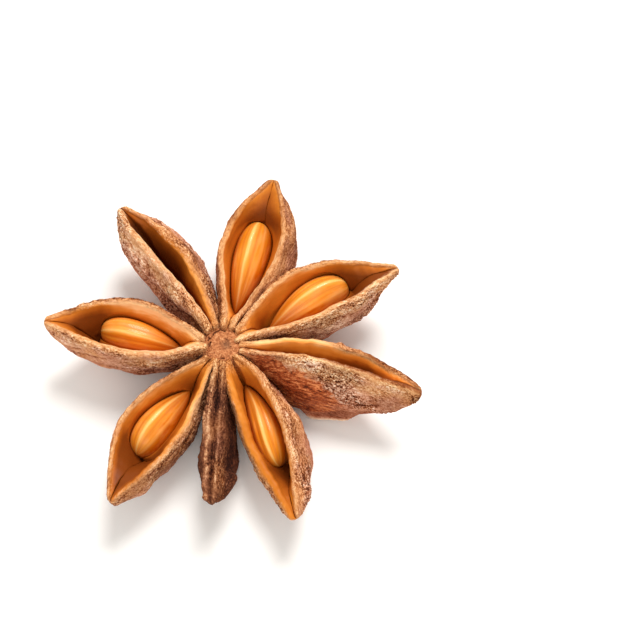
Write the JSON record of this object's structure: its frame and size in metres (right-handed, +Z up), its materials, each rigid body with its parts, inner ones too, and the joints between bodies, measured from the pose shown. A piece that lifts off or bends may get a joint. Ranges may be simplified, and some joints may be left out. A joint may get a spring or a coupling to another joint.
{
  "type": "star anise pod",
  "caption": "Dried star-shaped spice pod lying open side up: woody boat-shaped carpels round a short column, with glossy loose seeds in the open ones.",
  "frame": {"origin": "on the surface that the pod lies on, under the middle of its footprint", "axes": "+Z up, out of the open side of the pod; +X along the longest span of the star, towards the carpel with the narrow mouth"},
  "size_m": [0.0362, 0.035, 0.0087],
  "materials": {
    "husk": "dry, wrinkled and fibrous outside, smooth orange-brown inside",
    "seed": "hard and polished, amber with paler lengthwise streaks"
  },
  "bodies": {
    "root": {"husk": "husk", "seed_west": "seed", "seed_north": "seed", "seed_northeast": "seed", "seed_southeast": "seed", "seed_southwest": "seed"}
  },
  "joints": []
}
